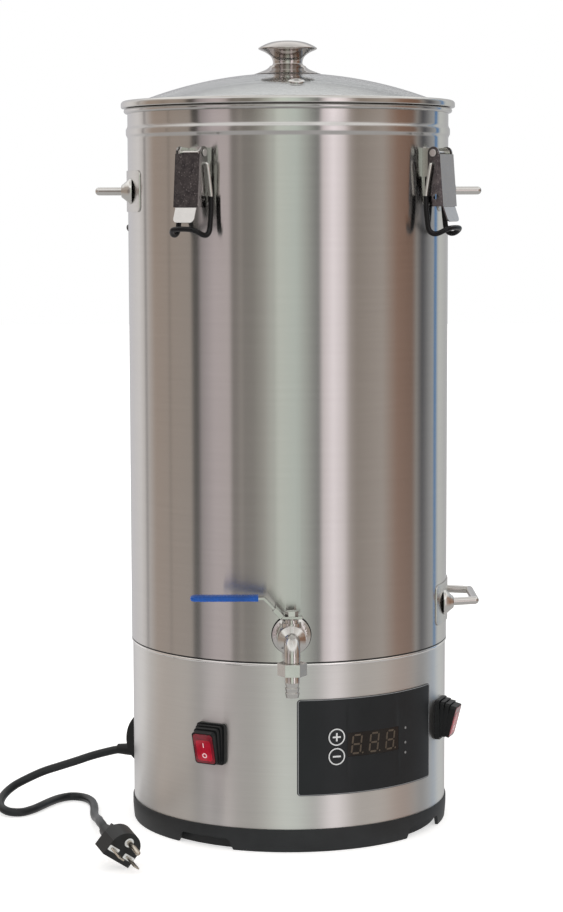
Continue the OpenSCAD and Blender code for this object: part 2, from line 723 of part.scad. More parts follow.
lid_glass();
lid_rim();
lid_knob();
lid_knob_base();
lid_knob_screw();
steam_vent_eyelet();
tank();
base_skirt();
base_pan();
bottom_screws();
handle_plates();
upper_left_handle();
upper_right_handle();
lower_handle();
latch_brackets();
latch_pins();
latch_lever_1();
latch_lever_2();
latch_lever_3();
latch_lever_4();
latch_bail_1();
latch_bail_2();
latch_bail_3();
latch_bail_4();
latch_grip_1();
latch_grip_2();
latch_grip_3();
latch_grip_4();
valve_washers();
valve_back_nut();
valve_body();
valve_ball();
ball_seats();
valve_stem();
stem_nut();
valve_lever();
lever_sleeve();
lever_lock();
union_nut();
hose_barb();
panel_overlay();
control_housing();
control_board();
display();
plus_button();
minus_button();
left_switch_body();
left_rocker();
left_switch_boot();
right_switch_body();
right_rocker();
right_switch_boot();
cord_gland();
power_cord();
plug_body();
plug_pins();
heating_elements();
thermal_cutout();
reset_button();
temperature_probe();
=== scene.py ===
"""Brew kettle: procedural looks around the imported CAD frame. Lengths are millimetres, and the mesh
helpers turn them into metres. Stations round the kettle are given by azimuth: 0 is the valve's side
(-Y) and it grows towards +X."""
import json
import math
import bmesh
import bpy
from mathutils import Matrix, Vector

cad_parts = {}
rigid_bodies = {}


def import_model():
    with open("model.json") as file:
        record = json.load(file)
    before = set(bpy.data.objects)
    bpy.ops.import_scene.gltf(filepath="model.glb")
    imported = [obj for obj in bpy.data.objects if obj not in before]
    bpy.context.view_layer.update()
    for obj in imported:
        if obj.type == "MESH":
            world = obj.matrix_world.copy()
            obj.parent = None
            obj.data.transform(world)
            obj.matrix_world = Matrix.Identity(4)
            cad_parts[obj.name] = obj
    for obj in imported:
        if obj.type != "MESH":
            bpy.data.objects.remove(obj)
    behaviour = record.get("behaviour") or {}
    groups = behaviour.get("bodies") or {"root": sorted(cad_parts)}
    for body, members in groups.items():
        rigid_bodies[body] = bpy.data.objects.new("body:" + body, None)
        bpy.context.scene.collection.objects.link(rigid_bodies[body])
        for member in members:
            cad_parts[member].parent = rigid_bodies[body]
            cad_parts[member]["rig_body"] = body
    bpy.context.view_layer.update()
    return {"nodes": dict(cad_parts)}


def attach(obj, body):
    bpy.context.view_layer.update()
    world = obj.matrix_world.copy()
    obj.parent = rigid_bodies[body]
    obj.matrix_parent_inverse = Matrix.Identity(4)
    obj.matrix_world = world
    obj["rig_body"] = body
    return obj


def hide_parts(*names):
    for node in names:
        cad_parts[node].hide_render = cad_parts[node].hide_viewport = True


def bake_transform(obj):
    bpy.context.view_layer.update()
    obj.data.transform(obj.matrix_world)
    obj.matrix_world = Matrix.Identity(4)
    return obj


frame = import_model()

MM = 0.001
PI = math.pi
SHARP = 32  # degrees: a sharper turn between two faces stays a crease
scene = bpy.context.scene
scene.view_settings.view_transform = "Standard"
scene.view_settings.look = "None"


# ---------------------------------------------------------------- camera
CAMERA_AT = (-0.032, -2.2948, 0.590)  # metres
CAMERA_PAN, CAMERA_PITCH, CAMERA_ROLL = -0.63, 83.9, -0.15
CAMERA_LENS, SENSOR_HEIGHT = 95.9, 36


def add_camera():
    cam = bpy.data.cameras.new("camera")
    cam.sensor_fit = "VERTICAL"
    cam.sensor_height = SENSOR_HEIGHT
    cam.lens = CAMERA_LENS
    ob = bpy.data.objects.new("camera", cam)
    scene.collection.objects.link(ob)
    pan, pitch, roll = (Matrix.Rotation(math.radians(a), 4, axis)
                        for a, axis in ((CAMERA_PAN, "Z"), (CAMERA_PITCH, "X"), (CAMERA_ROLL, "Z")))
    ob.matrix_world = Matrix.Translation(CAMERA_AT) @ (pan @ pitch @ roll)
    scene.camera = ob


add_camera()


# ---------------------------------------------------------------- mesh helpers
def station(az, z=0.0, r=0.0):
    """Local X runs sideways, -Y outwards and Z up, at radius r and height z in the azimuth az."""
    return Matrix.Rotation(math.radians(az), 4, "Z") @ Matrix.Translation((0, -r, z))


def facing(az, z=0.0, r=0.0):
    """Local X runs sideways, Y up and Z outwards."""
    return station(az, z, r) @ Matrix.Rotation(PI / 2, 4, "X")


def add_bevel(ob, edge, segments=3, angle=SHARP):
    mod = ob.modifiers.new("edges", "BEVEL")
    mod.width = edge * MM
    mod.segments = segments
    mod.limit_method = "ANGLE"
    mod.angle_limit = math.radians(angle)
    mod.harden_normals = True
    mod.miter_outer = "MITER_ARC"


def finish_bmesh(name, bm, mat, body, edge=0.0, sharp=SHARP, me=None):
    """Makes the bmesh a smooth object with rounded edges that rides its body."""
    if me is None:
        me = bpy.data.meshes.new(name)
    bm.to_mesh(me)
    bm.free()
    me.shade_smooth()
    me.set_sharp_from_angle(angle=math.radians(sharp))
    ob = bpy.data.objects.new(name, me)
    scene.collection.objects.link(ob)
    if mat is not None:
        me.materials.append(mat)
    if edge:
        add_bevel(ob, edge)
    if body:
        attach(ob, body)
    return ob


def mesh_piece(name, verts, faces, mat, body=None, place=None, sharp=SHARP):
    me = bpy.data.meshes.new(name)
    place = place or Matrix.Identity(4)
    me.from_pydata([(place @ Vector(v)) * MM for v in verts], [], faces)
    bm = bmesh.new()
    bm.from_mesh(me)
    bmesh.ops.remove_doubles(bm, verts=bm.verts, dist=1e-6)
    bmesh.ops.recalc_face_normals(bm, faces=bm.faces)
    return finish_bmesh(name, bm, mat, body, 0.0, sharp, me)


def circle(r, n, cx=0.0, cy=0.0):
    return [(cx + r * math.cos(2 * PI * k / n), cy + r * math.sin(2 * PI * k / n)) for k in range(n)]


def lathe(name, profile, mat, body=None, place=None, segs=64):
    """Turns a closed profile of (radius, height) round the local Z axis."""
    verts, faces, rows = [], [], []
    for r, z in profile:
        if r < 1e-6:
            rows.append([len(verts)] * segs)
            verts.append((0, 0, z))
        else:
            rows.append(list(range(len(verts), len(verts) + segs)))
            verts += [(x, y, z) for x, y in circle(r, segs)]
    for a, b in zip(rows, rows[1:] + rows[:1]):
        for k in range(segs):
            after = (k + 1) % segs
            face = list(dict.fromkeys((a[k], b[k], b[after], a[after])))
            if len(face) > 2:
                faces.append(face)
    return mesh_piece(name, verts, faces, mat, body, place)


def spline(points, steps):
    """A smooth curve through the points."""
    pts = [Vector(p) for p in points]
    ends = [pts[0], *pts, pts[-1]]
    out = []
    for a, b, c, d in zip(ends, ends[1:], ends[2:], ends[3:]):
        for k in range(steps):
            t = k / steps
            out.append((2 * b + (c - a) * t + (2 * a - 5 * b + 4 * c - d) * t * t
                        + (3 * b - a - 3 * c + d) * t ** 3) / 2)
    out.append(pts[-1])
    return out


def rounded_path(points, radius, steps):
    """The points with each inner corner rounded to a circular bend."""
    pts = [Vector(p) for p in points]
    out = [pts[0]]
    for i in range(1, len(pts) - 1):
        a, p, b = pts[i - 1], pts[i], pts[i + 1]
        u, v = (a - p).normalized(), (b - p).normalized()
        ang = u.angle(v)
        if ang > PI - 0.02:
            out.append(p)
            continue
        reach = min(radius / math.tan(ang / 2), (a - p).length * 0.49, (b - p).length * 0.49)
        rad = reach * math.tan(ang / 2)
        centre = p + (u + v).normalized() * (rad / math.sin(ang / 2))
        s, e = p + u * reach - centre, p + v * reach - centre
        for k in range(steps + 1):
            out.append(centre + s.slerp(e, k / steps))
    out.append(pts[-1])
    return out


def sweep(name, points, radius, mat, body, place=None, segs=16):
    """A round rod along the points; radius may be a function of the share of the length."""
    pts = [Vector(p) for p in points]
    rad = radius if callable(radius) else (lambda t: radius)
    lengths = [0.0]
    for a, b in zip(pts, pts[1:]):
        lengths.append(lengths[-1] + (b - a).length)
    n = len(pts)
    dirs = [(pts[min(i + 1, n - 1)] - pts[max(i - 1, 0)]).normalized() for i in range(n)]
    side = dirs[0].orthogonal().normalized()
    verts, faces = [], []
    for i in range(n):
        if i:
            side = (dirs[i - 1].rotation_difference(dirs[i])) @ side
            side = (side - dirs[i] * side.dot(dirs[i])).normalized()
        up = dirs[i].cross(side)
        verts += [pts[i] + side * x + up * y for x, y in circle(rad(lengths[i] / lengths[-1]), segs)]
    for i in range(n - 1):
        for k in range(segs):
            a, b = i * segs + k, i * segs + (k + 1) % segs
            faces.append([a, b, b + segs, a + segs])
    faces.append(list(range(segs))[::-1])
    faces.append(list(range((n - 1) * segs, n * segs)))
    return mesh_piece(name, verts, faces, mat, body, place, sharp=40)


def rrect(w, h, r, steps=6, cx=0.0, cy=0.0):
    """A rectangle with rounded corners."""
    out = []
    for sx, sy, a0 in ((1, 1, 0), (-1, 1, 90), (-1, -1, 180), (1, -1, 270)):
        for k in range(steps + 1):
            a = math.radians(a0 + 90 * k / steps)
            out.append((cx + sx * (w / 2 - r) + r * math.cos(a),
                        cy + sy * (h / 2 - r) + r * math.sin(a)))
    return out


def filled(loops, z):
    """A flat face at height z: the first loop is its outline and the others are holes."""
    bm = bmesh.new()
    edges = []
    for loop in loops:
        vs = [bm.verts.new((x, y, z)) for x, y in loop]
        edges += [bm.edges.new((vs[i], vs[(i + 1) % len(vs)])) for i in range(len(vs))]
    bmesh.ops.triangle_fill(bm, edges=edges, use_dissolve=True)
    return bm


def extruded(bm):
    """Extrudes the faces and gives the new vertices, which still have to be moved."""
    top = bmesh.ops.extrude_face_region(bm, geom=list(bm.faces))
    return [v for v in top["geom"] if isinstance(v, bmesh.types.BMVert)]


def plate(name, outline, z0, z1, mat, body=None, place=None, holes=(), edge=0.0):
    """An outline, with holes, made into a plate from z0 to z1 with rounded edges."""
    bm = filled([outline, *holes], z0)
    bmesh.ops.translate(bm, verts=extruded(bm), vec=(0, 0, z1 - z0))
    bmesh.ops.recalc_face_normals(bm, faces=bm.faces)
    place = place or Matrix.Identity(4)
    bmesh.ops.transform(bm, matrix=Matrix.Scale(MM, 4) @ place, verts=bm.verts)
    return finish_bmesh(name, bm, mat, body, edge)


def wrapped_plate(name, outline, r0, r1, mat, body, az, z, holes=(), edge=0.0, step=4.0):
    """A plate drawn flat (sideways, up) and wrapped on the wall between two radii."""
    bm = filled([outline, *holes], r0)
    xs = [p[0] for p in outline]
    x = math.ceil(min(xs) / step) * step
    while x < max(xs):
        geom = list(bm.verts) + list(bm.edges) + list(bm.faces)
        bmesh.ops.bisect_plane(bm, geom=geom, dist=1e-4, plane_co=(x, 0, 0), plane_no=(1, 0, 0))
        x += step
    for v in extruded(bm):
        v.co.z = r1
    turn = Matrix.Rotation(math.radians(az), 4, "Z")
    for v in bm.verts:
        x, y, r = v.co
        v.co = (turn @ Vector((x, -math.sqrt(r * r - x * x), y + z))) * MM
    bmesh.ops.recalc_face_normals(bm, faces=bm.faces)
    return finish_bmesh(name, bm, mat, body, edge)


def cad_copy(node, mat, edge=0.3, segments=2, name=None, angle=35, rides=True):
    """A CAD node's shape with its flat faces merged and its edges rounded."""
    src = frame["nodes"][node]
    bm = bmesh.new()
    bm.from_mesh(src.data)
    bmesh.ops.remove_doubles(bm, verts=bm.verts, dist=2e-6)
    bmesh.ops.dissolve_limit(bm, angle_limit=math.radians(0.6), verts=bm.verts, edges=bm.edges)
    bmesh.ops.recalc_face_normals(bm, faces=bm.faces)
    ob = finish_bmesh(name or node + "_form", bm, mat, src["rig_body"] if rides else None, 0, angle)
    if edge:
        add_bevel(ob, edge, segments, angle)
    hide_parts(node)
    return ob


def join(name, obs):
    with bpy.context.temp_override(active_object=obs[0], object=obs[0], selected_objects=obs,
                                   selected_editable_objects=obs):
        bpy.ops.object.join()
    obs[0].name = name
    obs[0].data.name = name
    return obs[0]


def bake_modifiers(ob):
    deps = bpy.context.evaluated_depsgraph_get()
    me = bpy.data.meshes.new_from_object(ob.evaluated_get(deps))
    ob.modifiers.clear()
    ob.data = me
    return ob


# ---------------------------------------------------------------- materials
class Nodes:
    """Short names for making the nodes of a material or world."""

    def __init__(self, holder):
        holder.use_nodes = True
        self.m, self.t = holder, holder.node_tree
        self.bsdf = self.t.nodes.get("Principled BSDF")

    def math(self, op, a, b=None):
        n = self.t.nodes.new("ShaderNodeMath")
        n.operation = op
        for i, v in enumerate((a, b)):
            if v is None:
                continue
            if isinstance(v, (int, float)):
                n.inputs[i].default_value = v
            else:
                self.t.links.new(v, n.inputs[i])
        return n.outputs[0]

    def ramp(self, fac, stops):
        n = self.t.nodes.new("ShaderNodeValToRGB")
        self.t.links.new(fac, n.inputs[0])
        e = n.color_ramp.elements
        while len(e) < len(stops):
            e.new(0.5)
        for el, (pos, col) in zip(e, stops):
            el.position = pos
            el.color = (*col, 1) if len(col) == 3 else (col[0],) * 3 + (1,)
        return n.outputs[0]

    def span(self, v, lo, hi):
        n = self.t.nodes.new("ShaderNodeMapRange")
        self.t.links.new(v, n.inputs[0])
        n.inputs[3].default_value = lo
        n.inputs[4].default_value = hi
        return n.outputs[0]

    def mix(self, fac, a, b, blend="MIX"):
        n = self.t.nodes.new("ShaderNodeMix")
        n.data_type, n.blend_type = "RGBA", blend
        if isinstance(fac, (int, float)):
            n.inputs[0].default_value = fac
        else:
            self.t.links.new(fac, n.inputs[0])
        for i, v in ((6, a), (7, b)):
            if isinstance(v, (tuple, list)):
                n.inputs[i].default_value = (*v, 1)
            else:
                self.t.links.new(v, n.inputs[i])
        return n.outputs[2]

    def scaled(self, colour, factor):
        n = self.t.nodes.new("ShaderNodeVectorMath")
        n.operation = "SCALE"
        self.t.links.new(colour, n.inputs[0])
        n.inputs["Scale"].default_value = factor
        return n.outputs[0]

    def coords(self):
        return self.t.nodes.new("ShaderNodeTexCoord").outputs["Object"]

    def noise(self, vec, scale, detail=4, rough=0.5):
        n = self.t.nodes.new("ShaderNodeTexNoise")
        n.inputs["Scale"].default_value = scale
        n.inputs["Detail"].default_value = detail
        n.inputs["Roughness"].default_value = rough
        self.t.links.new(vec, n.inputs["Vector"])
        return n.outputs[0]

    def stretch(self, vec, scale):
        n = self.t.nodes.new("ShaderNodeMapping")
        n.inputs["Scale"].default_value = scale
        self.t.links.new(vec, n.inputs["Vector"])
        return n.outputs[0]

    def split(self, vec):
        n = self.t.nodes.new("ShaderNodeSeparateXYZ")
        self.t.links.new(vec, n.inputs[0])
        return n.outputs

    def azimuth(self, x, y):
        return self.math("ARCTAN2", x, self.math("MULTIPLY", y, -1.0))

    def round_coords(self, along, up):
        """(azimuth x along, height x up, 0): for a grain that runs round the wall."""
        x, y, z = self.split(self.coords())
        out = self.t.nodes.new("ShaderNodeCombineXYZ")
        self.t.links.new(self.math("MULTIPLY", self.azimuth(x, y), along), out.inputs[0])
        self.t.links.new(self.math("MULTIPLY", z, up), out.inputs[1])
        return out.outputs[0]

    def bump(self, height, strength, distance):
        n = self.t.nodes.new("ShaderNodeBump")
        n.inputs["Strength"].default_value = strength
        n.inputs["Distance"].default_value = distance
        self.t.links.new(height, n.inputs["Height"])
        self.t.links.new(n.outputs[0], self.bsdf.inputs["Normal"])

    def set(self, **values):
        for k, v in values.items():
            i = self.bsdf.inputs[k.replace("_", " ")]
            if isinstance(v, bpy.types.NodeSocket):
                self.t.links.new(v, i)
            else:
                i.default_value = (*v, 1) if i.type == "RGBA" else v


def look(name):
    """The nodes of a new material."""
    return Nodes(bpy.data.materials.new(name))


def shade(colour, factor):
    return tuple(min(1, c * factor) for c in colour)


def wall_steel(name, colour, rough, aniso):
    """Sheet steel with a grain that runs round the wall."""
    k = look(name)
    streaks = k.noise(k.round_coords(3.0, 2600.0), 1.0, 3, 0.6)
    broad = k.noise(k.round_coords(1.2, 240.0), 1.0, 4, 0.6)
    cloud = k.noise(k.coords(), 9.0, 3, 0.55)
    tone = k.math("ADD", k.math("MULTIPLY", streaks, 0.6), k.math("MULTIPLY", broad, 0.4))
    col = k.ramp(tone, [(0.25, shade(colour, 0.95)), (0.75, shade(colour, 1.04))])
    k.set(Base_Color=k.mix(k.span(cloud, 0.0, 0.06), col, (0.50, 0.48, 0.46)), Metallic=1.0)
    k.set(Anisotropic=aniso, Anisotropic_Rotation=0.25)
    k.set(Roughness=k.math("ADD", k.span(tone, rough * 0.92, rough * 1.08),
                           k.span(cloud, -0.01, 0.012)))
    tan = k.t.nodes.new("ShaderNodeTangent")
    tan.direction_type, tan.axis = "RADIAL", "Z"
    k.t.links.new(tan.outputs[0], k.bsdf.inputs["Tangent"])
    k.bump(broad, 0.04, 0.00005)
    return k.m


def metal(name, colour, rough, scratch=(30, 30, 900), amount=0.12, bump=0.05, tint=0.08):
    """Bright metal with fine scratches along one direction and slight tarnish."""
    k = look(name)
    fine = k.noise(k.stretch(k.coords(), scratch), 1.0, 4, 0.6)
    cloud = k.noise(k.coords(), 60.0, 4, 0.6)
    k.set(Base_Color=k.ramp(cloud, [(0.3, shade(colour, 1 - tint)), (0.7, colour)]), Metallic=1.0)
    k.set(Roughness=k.math("ADD", k.span(fine, rough - amount / 2, rough + amount / 2),
                           k.span(cloud, 0, 0.05)))
    k.bump(fine, bump, 0.0001)
    return k.m


def cast_metal(name, colour, rough):
    """Cast metal with a fine grain."""
    k = look(name)
    grain = k.noise(k.coords(), 1400.0, 4, 0.65)
    cloud = k.noise(k.coords(), 70.0, 4, 0.6)
    k.set(Base_Color=k.ramp(cloud, [(0.3, shade(colour, 0.85)), (0.7, colour)]), Metallic=1.0)
    k.set(Roughness=k.math("ADD", k.span(grain, rough - 0.05, rough + 0.05),
                           k.span(cloud, -0.03, 0.05)))
    k.bump(grain, 0.25, 0.0001)
    return k.m


def speckled(name):
    """A plate coloured with a painted reflection of a dark room, with small light specks."""
    k = look(name)
    spots = k.noise(k.stretch(k.coords(), (1.0, 1.0, 0.6)), 1050.0, 4, 0.7)
    cloud = k.noise(k.coords(), 160.0, 3, 0.5)
    dark = k.ramp(cloud, [(0.3, (0.10, 0.095, 0.10)), (0.7, (0.20, 0.19, 0.19))])
    light_specks = k.ramp(spots, [(0.60, (0.0,)), (0.70, (1.0,))])
    k.set(Base_Color=k.mix(light_specks, dark, (0.80, 0.78, 0.77)), Metallic=1.0)
    k.set(Roughness=k.span(spots, 0.10, 0.34))
    k.bump(spots, 0.12, 0.0002)
    return k.m


def plastic(name, colour, rough, grain=1500.0, bump=0.2, mottle=0.15, coat=0.0, spec=0.45):
    """Moulded plastic or rubber with a fine texture and slight shade changes."""
    k = look(name)
    fine = k.noise(k.coords(), grain, 3, 0.6)
    cloud = k.noise(k.coords(), 45.0, 4, 0.6)
    k.set(Base_Color=k.ramp(cloud, [(0.3, shade(colour, 1 - mottle)), (0.7, shade(colour, 1 + mottle))]))
    k.set(Roughness=k.math("ADD", k.span(fine, rough - 0.06, rough + 0.06),
                           k.span(cloud, -0.03, 0.04)))
    k.set(Specular_IOR_Level=spec)
    if coat:
        k.set(Coat_Weight=coat, Coat_Roughness=0.08)
    if bump:
        k.bump(fine, bump, 0.0001)
    return k.m


def lens(name, colour):
    """Translucent moulded plastic with a faint facet pattern."""
    k = look(name)
    cloud = k.noise(k.coords(), 120.0, 3, 0.5)
    facets = k.t.nodes.new("ShaderNodeTexVoronoi")
    facets.inputs["Scale"].default_value = 260.0
    k.t.links.new(k.coords(), facets.inputs["Vector"])
    k.set(Base_Color=k.ramp(cloud, [(0.3, shade(colour, 0.55)), (0.75, colour)]), Roughness=0.16,
          Subsurface_Weight=0.35, Subsurface_Radius=(0.004, 0.0006, 0.0006), Subsurface_Scale=0.6,
          Coat_Weight=0.6, Coat_Roughness=0.05)
    k.bump(facets.outputs[0], 0.015, 0.0002)
    return k.m


def glass(name):
    k = look(name)
    smear = k.noise(k.coords(), 14.0, 4, 0.6)
    k.set(Base_Color=(0.96, 0.98, 0.972), Transmission_Weight=1.0, IOR=1.45)
    k.set(Roughness=k.span(smear, 0.0, 0.012))
    return k.m


# After the name and colour come, for metal: roughness, scratches per metre along X, Y and Z, how far
# they change the roughness, their bump, and the tarnish. For plastic: roughness, grains per metre,
# their bump, the change of shade, and the clear coat.
M = {
    "tank": wall_steel("satin_steel", (0.60, 0.59, 0.58), 0.175, 0.97),
    "skirt": wall_steel("skirt_steel", (0.79, 0.785, 0.77), 0.36, 0.88),
    "wire": metal("polished_wire", (0.72, 0.71, 0.69), 0.12, (200, 200, 200), 0.06),
    "plate": metal("handle_plate_steel", (0.66, 0.65, 0.63), 0.22, (40, 40, 900), 0.14),
    "boss": metal("handle_boss_steel", (0.74, 0.73, 0.71), 0.08, (200, 200, 200), 0.04, 0.03),
    "chrome": metal("chrome", (0.56, 0.53, 0.51), 0.05, (200, 200, 200), 0.03, 0.02, 0.03),
    "valve": cast_metal("valve_steel", (0.70, 0.69, 0.67), 0.13),
    # a very light steel: a painted highlight along the skirt's hem
    "hem": metal("hem_highlight_steel", (0.94, 0.93, 0.92), 0.10, (300, 300, 300), 0.04, 0.02),
    "lever": metal("lever_steel", (0.58, 0.57, 0.55), 0.12, (300, 300, 60), 0.06, 0.04),
    "bright": metal("fastener_steel", (0.72, 0.71, 0.69), 0.20, (300, 300, 300), 0.1),
    "pan": plastic("base_plastic", (0.020, 0.022, 0.024), 0.50, 2200.0, 0.25, spec=0.32),
    "black": plastic("black_plastic", (0.010, 0.011, 0.012), 0.42, 1800.0, 0.15, spec=0.35),
    "rubber": plastic("black_rubber", (0.008, 0.009, 0.010), 0.42, 900.0, 0.12, spec=0.30),
    "grip": plastic("grip_rubber", (0.004, 0.004, 0.005), 0.22, 700.0, 0.06, 0.15, 0.08, spec=0.25),
    "cord": plastic("cord_rubber", (0.012, 0.014, 0.016), 0.34, 900.0, 0.10, spec=0.4),
    "plug": plastic("plug_rubber", (0.012, 0.013, 0.014), 0.34, 1200.0, 0.10, spec=0.4),
    "blue": plastic("blue_vinyl", (0.008, 0.075, 0.34), 0.26, 500.0, 0.05, 0.18, 0.1, spec=0.25),
    "panel": plastic("panel_film", (0.012, 0.014, 0.016), 0.34, 2400.0, 0.06, 0.08, spec=0.28),
    "window": plastic("display_window", (0.010, 0.008, 0.007), 0.14, 300.0, 0.02, 0.1, 0.3, spec=0.2),
    "segment": plastic("display_segments", (0.085, 0.066, 0.050), 0.30, 900.0, 0.02, 0.1, spec=0.2),
    "silver": plastic("silver_print", (0.62, 0.63, 0.64), 0.35, 900.0, 0.04, 0.06),
    "lamp": plastic("lamp_dot", (0.20, 0.20, 0.20), 0.30, 900.0, 0.04, 0.06),
    "lens": lens("red_lens", (0.22, 0.008, 0.02)),
    "lens_core": lens("red_lens_core", (0.52, 0.008, 0.03)),
    "mark": plastic("lens_mark", (0.85, 0.62, 0.66), 0.35, 900.0, 0.04, 0.04),
    "white": plastic("white_nylon", (0.74, 0.76, 0.76), 0.35, 900.0, 0.06, 0.05),
    "band": metal("lid_band_steel", (0.66, 0.65, 0.63), 0.12, (300, 300, 2000), 0.06, 0.03),
    "floor": metal("tank_floor_steel", (0.60, 0.59, 0.56), 0.30, (40, 40, 40)),
    # copies of one latch steel for light and shade: a darker one for painted shade, a speckled one with a
    # painted dark reflection, a light one for painted light, and a very light one for a painted highlight
    # on rounded edges
    "latch": metal("latch_shaded_steel", (0.42, 0.41, 0.40), 0.12, (300, 300, 60), 0.08, 0.05, 0.2),
    "latch_edge": metal("latch_highlight_steel", (0.92, 0.91, 0.90), 0.20, (300, 300, 300), 0.06, 0.03),
    "latch_plate": speckled("latch_plate_steel"),
    "latch_tab": metal("latch_lit_steel", (0.90, 0.89, 0.88), 0.18, (60, 60, 300), 0.08, 0.04),
    "silver_dim": plastic("silver_edge", (0.24, 0.25, 0.26), 0.35, 900.0, 0.04, 0.06),
    "board": plastic("circuit_board", (0.02, 0.14, 0.05), 0.35, 900.0, 0.1, 0.2),
    "heater": metal("heater_steel", (0.30, 0.27, 0.23), 0.42, (90, 90, 90), 0.15, 0.1, 0.3),
    "reset": plastic("reset_red", (0.42, 0.02, 0.02), 0.35, 900.0, 0.05),
    "pin": metal("plug_metal", (0.66, 0.60, 0.52), 0.22, (400, 400, 60), 0.1),
    "glass": glass("lid_glass_clear"),
}


# ---------------------------------------------------------------- cord and plug
ROUTE = [(-150, 37, 53), (-159, 39, 53), (-168, 41, 52), (-180, 43, 49), (-194, 44, 45), (-209, 44, 40),
         (-225, 44, 35), (-241, 43, 30), (-256, 39, 24), (-268, 31, 19), (-276, 19, 14), (-279, 6, 10),
         (-277, -6, 7), (-269, -15, 5), (-257, -14, 4), (-247, -3, 4), (-240, 11, 4), (-233, 26, 4),
         (-225, 39, 4), (-214, 47, 4), (-202, 43, 4), (-194, 31, 4), (-190, 16, 4), (-188, -1, 4),
         (-187, -18, 4), (-185, -38, 6), (-182, -60, 10), (-179, -84, 15), (-177, -108, 21),
         (-175, -130, 26), (-173, -148, 29), (-170, -162, 30), (-167, -171, 28), (-162, -180, 25)]
CORD_D = 8.0
PLUG = (Matrix.Translation((-148, -206, 19.5)) @ Matrix.Rotation(math.radians(26.6), 4, "Z")
        @ Matrix.Rotation(math.radians(104), 4, "X") @ Matrix.Rotation(math.radians(-35), 4, "Z"))
BLADE_X, BLADE_Y, EARTH_Y = 9.2, -5, 7

cord_line = spline(ROUTE, 6)
cord = sweep("mains_cord", cord_line, CORD_D / 2, M["cord"], "kettle", segs=24)
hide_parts("power_cord")

plug = cad_copy("plug_body", M["plug"], 0.9, 3, "plug_shell")
pins = cad_copy("plug_pins", M["pin"], 0.25, 2, "plug_blades")
collars = [plate("blade_collar", rrect(11.6, 5.0, 0.8, 3, x, BLADE_Y), -1, 0.35, M["white"], None, PLUG,
                 holes=[rrect(6.6, 1.8, 0.3, 2, x, BLADE_Y)], edge=0.12)
           for x in (-BLADE_X, BLADE_X)]
collars.append(lathe("pin_collar", [(2.45, -1), (4.3, -1), (4.3, 0.2), (4.15, 0.4), (2.6, 0.4),
                                    (2.45, 0.2)],
                     M["white"], None, PLUG @ Matrix.Translation((0, EARTH_Y, 0)), 32))
for c in collars:
    bake_modifiers(c)
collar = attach(join("plug_collars", collars), "kettle")
cord_long = sum((b - a).length for a, b in zip(cord_line, cord_line[1:])) * MM
print("cord length", round(cord_long, 4))


# ---------------------------------------------------------------- lid
TANK_R, TANK_T, BEAD_Z, RIM_Z, RIM_ROLL = 150, 1, 649.5, 669.0, 2.4
TANK_INNER = TANK_R - TANK_T
SEAM_Z, LID_Z, LID_R = 174.6, 671.7, 156
DOME_TOP, DOME_R, GLASS_T, VENT_TILT = 704.3, 377.8, 4, 14.4
DOME_Z = DOME_TOP - DOME_R


def stand_in(ob, slot, *nodes):
    """The piece takes the named CAD nodes' place: the nodes are hidden."""
    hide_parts(*nodes)
    return ob


def cut(ob, cutters):
    """Cuts holes and sets the shading again."""
    for c in cutters:
        mod = ob.modifiers.new("hole", "BOOLEAN")
        mod.operation = "DIFFERENCE"
        mod.solver = "EXACT"
        mod.object = c
    bake_modifiers(ob)
    ob.data.set_sharp_from_angle(angle=math.radians(32))
    for c in cutters:
        bpy.data.objects.remove(c)
    return ob


def bore(r, z0, z1, place=None, segs=48):
    """A cutter for a round hole."""
    return lathe("hole", [(0, z0), (r, z0), (r, z1), (0, z1)], None, None, place, segs)


def slot_cutter(w, h, place):
    """A cutter for a rectangular hole through the skirt."""
    return plate("hole", rrect(w, h, 0.4, 2), 130, 160, None, None, place)


def arc(cx, cz, r, a0, a1, n):
    return [(cx + r * math.cos(math.radians(a0 + (a1 - a0) * k / n)),
             cz + r * math.sin(math.radians(a0 + (a1 - a0) * k / n))) for k in range(n + 1)]


def dome(radius, r0, r1, n):
    """The glass's profile between two distances from the axis."""
    steps = [r0 + (r1 - r0) * k / n for k in range(n + 1)]
    return [(r, DOME_Z + math.sqrt(radius ** 2 - r ** 2)) for r in steps]


def smooth(profile):
    return [(p.x, p.y) for p in spline([(r, z, 0) for r, z in profile], 4)]


VENT = Matrix.Translation((0, 0, DOME_Z)) @ Matrix.Rotation(math.radians(4), 4, "Z")
VENT = VENT @ Matrix.Rotation(math.radians(VENT_TILT), 4, "X")

lid_glass = lathe("lid_dome", dome(DOME_R, 3.9, 138, 40)
                  + [(140.5, 677.62), (143, 677.5), (152.6, 677.5), (153, 677.1), (153, 674.0),
                     (152.6, 673.6), (140, 673.6), (137.5, 674.0)]
                  + dome(DOME_R - GLASS_T, 136.5, 3.9, 40), M["glass"], "lid", None, 160)
cut(lid_glass, [bore(4.3, 360, 390, VENT, 32)])
stand_in(lid_glass, "glass", "lid_glass")

rim = lathe("lid_band", [(146.6, -8.7), (147.0, -8.9), (147.4, -8.7), (147.4, -0.6), (148.2, 0)]
            + arc(LID_R - 1.0, 1.0, 1.0, -90, 0, 4) + arc(LID_R - 3.2, 3.4, 3.2, 0, 90, 8)
            + [(147.2, 6.6), (146.0, 6.45), (145.6, 6.2), (145.5, 5.8), (LID_R - 2.9, 5.8),
               (LID_R - 1.2, 4.4), (LID_R - 0.9, 3.2), (LID_R - 0.9, 1.0), (146.6, 1.0)],
            M["band"], "lid", Matrix.Translation((0, 0, LID_Z)), 192)
stand_in(rim, "polished_steel", "lid_rim")

